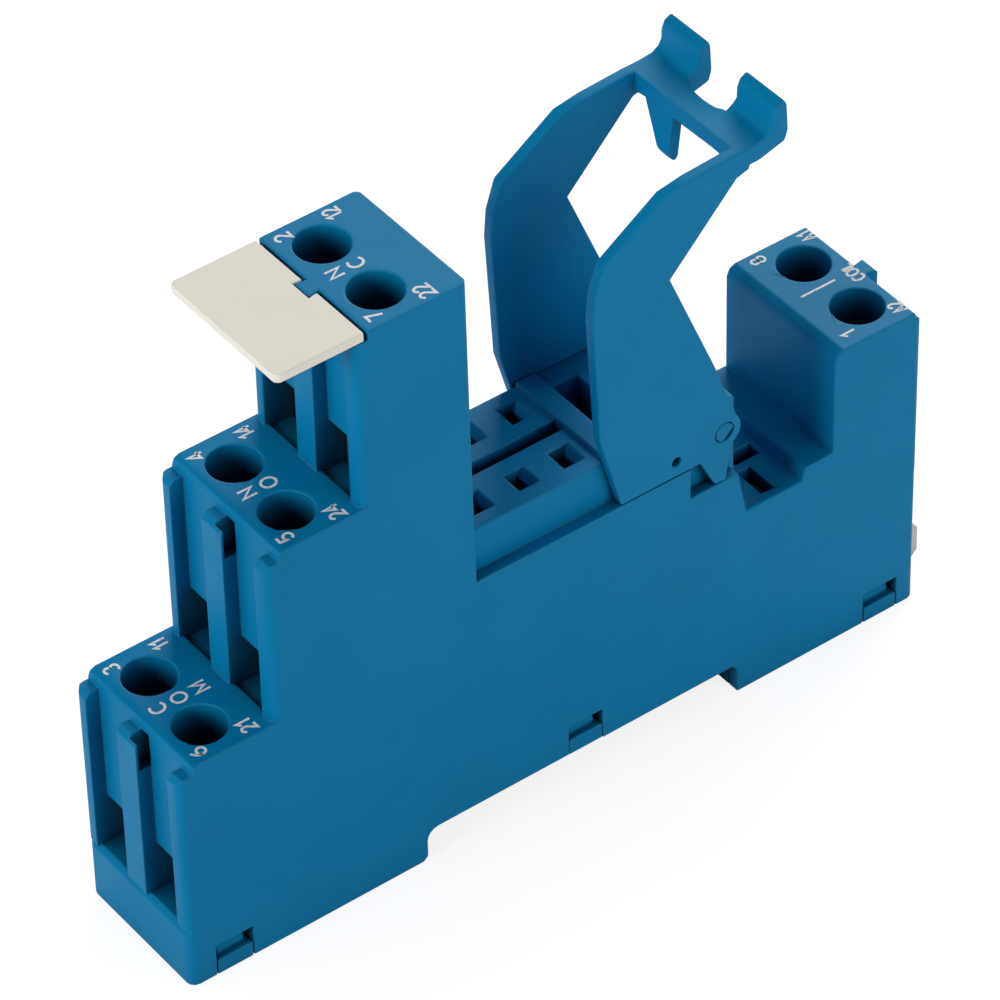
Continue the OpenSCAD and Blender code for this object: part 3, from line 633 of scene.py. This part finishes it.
# Each letter is (width, pen strokes), in cap heights.
letters = {
    "1": (0.36, [[(0.0, 0.74), (0.32, 1.0), (0.32, 0.0)]]),
    "2": (0.60, [arc(0.29, 0.71, 0.28, 0.29, 165, -35) + [(0.0, 0.0), (0.60, 0.0)]]),
    "3": (0.58, [
        arc(0.27, 0.75, 0.26, 0.25, 150, -90),
        arc(0.27, 0.26, 0.30, 0.26, 90, -150)]),
    "4": (0.64, [[(0.46, 0.0), (0.46, 1.0), (0.0, 0.30), (0.64, 0.30)]]),
    "5": (0.58, [
        [(0.54, 1.0), (0.09, 1.0), (0.04, 0.52)]
        + arc(0.27, 0.31, 0.30, 0.31, 130, -150)]),
    "6": (0.60, [
        arc(0.60, 0.36, 0.60, 0.64, 105, 180),
        arc(0.30, 0.30, 0.30, 0.30, 180, -180, 22)]),
    "7": (0.58, [[(0.0, 1.0), (0.58, 1.0), (0.20, 0.0)]]),
    "8": (0.58, [
        arc(0.29, 0.76, 0.24, 0.24, 0, 360, 20),
        arc(0.29, 0.26, 0.29, 0.26, 0, 360, 22)]),
    "A": (0.70, [[(0.0, 0.0), (0.35, 1.0), (0.70, 0.0)], [(0.12, 0.32), (0.58, 0.32)]]),
    "C": (0.72, [arc(0.42, 0.50, 0.42, 0.50, 48, 312, 20)]),
    "I": (0.04, [[(0.02, 0.0), (0.02, 1.0)]]),
    "L": (0.48, [[(0.0, 1.0), (0.0, 0.0), (0.48, 0.0)]]),
    "M": (0.80, [[(0.0, 0.0), (0.0, 1.0), (0.40, 0.20), (0.80, 1.0), (0.80, 0.0)]]),
    "N": (0.68, [[(0.0, 0.0), (0.0, 1.0), (0.68, 0.0), (0.68, 1.0)]]),
    "O": (0.86, [arc(0.43, 0.50, 0.43, 0.50, 0, 360, 26)]),
}


def lay_stroke(shape, points, top):
    """Adds one pen stroke to a bmesh as a thin closed ribbon with mitred bends."""
    path = [Vector(p) for p in points]
    closed = (path[0] - path[-1]).length < 0.001 * mm
    if closed:
        path.pop()
    rings = []
    for i, here in enumerate(path):
        before = path[i - 1] if closed or i else None
        after = path[(i + 1) % len(path)] if closed or i < len(path) - 1 else None
        coming = (here - before).normalized() if before else (after - here).normalized()
        going = (after - here).normalized() if after else coming
        side = Vector((-coming.y - going.y, coming.x + going.x)).normalized()
        half = pen_width / 2 / max(sharpest_mitre, side.dot(Vector((-coming.y, coming.x))))
        rings.append([
            shape.verts.new((*(here + side * half * across), top - drop))
            for across, drop in ((-1, 0), (1, 0), (1, ink_film), (-1, ink_film))])
    last = len(rings) if closed else len(rings) - 1
    for i in range(last):
        one = rings[i]
        two = rings[(i + 1) % len(rings)]
        for k in range(4):
            shape.faces.new((one[k], two[k], two[(k + 1) % 4], one[(k + 1) % 4]))
    if not closed:
        shape.faces.new(rings[0])
        shape.faces.new(reversed(rings[-1]))


def print_shape(name, shape):
    """Turns a bmesh of pen strokes into an ink piece on the housing."""
    bmesh.ops.recalc_face_normals(shape, faces=shape.faces)
    mesh = bpy.data.meshes.new(name)
    shape.to_mesh(mesh)
    shape.free()
    mesh.materials.append(ink)
    mark = bpy.data.objects.new(name, mesh)
    bpy.context.scene.collection.objects.link(mark)
    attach(mark, "housing")


def print_word(name, word, x, y, top, height=cap_height, stretch=1.0):
    """Prints a word on a top face: baseline along +Y, letters standing to -X."""
    length = sum(letters[c][0] for c in word) + letter_gap * (len(word) - 1)
    pen = -length / 2
    shape = bmesh.new()
    for c in word:
        width, strokes = letters[c]
        for stroke in strokes:
            lay_stroke(shape, [
                (x - (up - 0.5) * height, y + (pen + along) * height * stretch)
                for along, up in stroke], top + ink_film)
        pen += width + letter_gap
    print_shape(name, shape)


# terminal: (near number, near port, far number, far port, word, first letter's x)
marks = {
    "com": ("6", "21", "3", "11", "COM", -1.74),
    "no": ("5", "24", "4", "14", "NO", -1.35),
    "nc": ("7", "22", "2", "12", "NC", -1.45),
}
number_x = -2.1 * mm
port_x = 3.1 * mm
edge_y = 6.62 * mm
letter_pitch = 2.24 * mm
port_stretch = 0.80
near_port_shift = 0.1 * mm
for terminal, (near_number, near_port, far_number, far_port, word, first) in marks.items():
    low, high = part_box(f"screw_{terminal}_near")
    x = (low.x + high.x) / 2
    top = high.z + guide_depth
    print_word(f"number_{terminal}_near", near_number, x + number_x, -edge_y, top)
    print_word(f"port_{terminal}_near", near_port, x + port_x, -edge_y + near_port_shift, top,
               stretch=port_stretch)
    print_word(f"number_{terminal}_far", far_number, x + number_x, edge_y, top)
    print_word(f"port_{terminal}_far", far_port, x + port_x, edge_y, top,
               stretch=port_stretch)
    for i, letter in enumerate(word):
        print_word(f"word_{terminal}_{i}", letter, x + first * mm + i * letter_pitch, 0, top)

low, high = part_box("screw_coil_near")
coil_x = (low.x + high.x) / 2
coil_top = high.z + guide_depth
# (piece, word, x from the screws, y, cap height, stretch), lengths in mm
coil_marks = [
    ("number_coil_near", "1", -3.0, -6.4, 1.42, 1.0),
    ("port_coil_near", "A2", 2.75, -6.25, 1.30, 0.70),
    ("number_coil_far", "8", -3.0, 6.75, 1.42, 1.0),
    ("port_coil_far", "A1", 2.75, 6.7, 1.30, 0.70),
    ("word_coil", "COIL", 2.7, 0.1, 1.20, 0.74),
]
for piece, word, x, y, height, stretch in coil_marks:
    print_word(piece, word, coil_x + x * mm, y * mm, coil_top, height * mm, stretch)

bar_start = coil_x - 3.2 * mm
bar_end = coil_x + 0.8 * mm
bar_y = 0.25 * mm
bar_shape = bmesh.new()
lay_stroke(bar_shape, [(bar_start, bar_y), (bar_end, bar_y)], coil_top + ink_film)
print_shape("coil_bar", bar_shape)
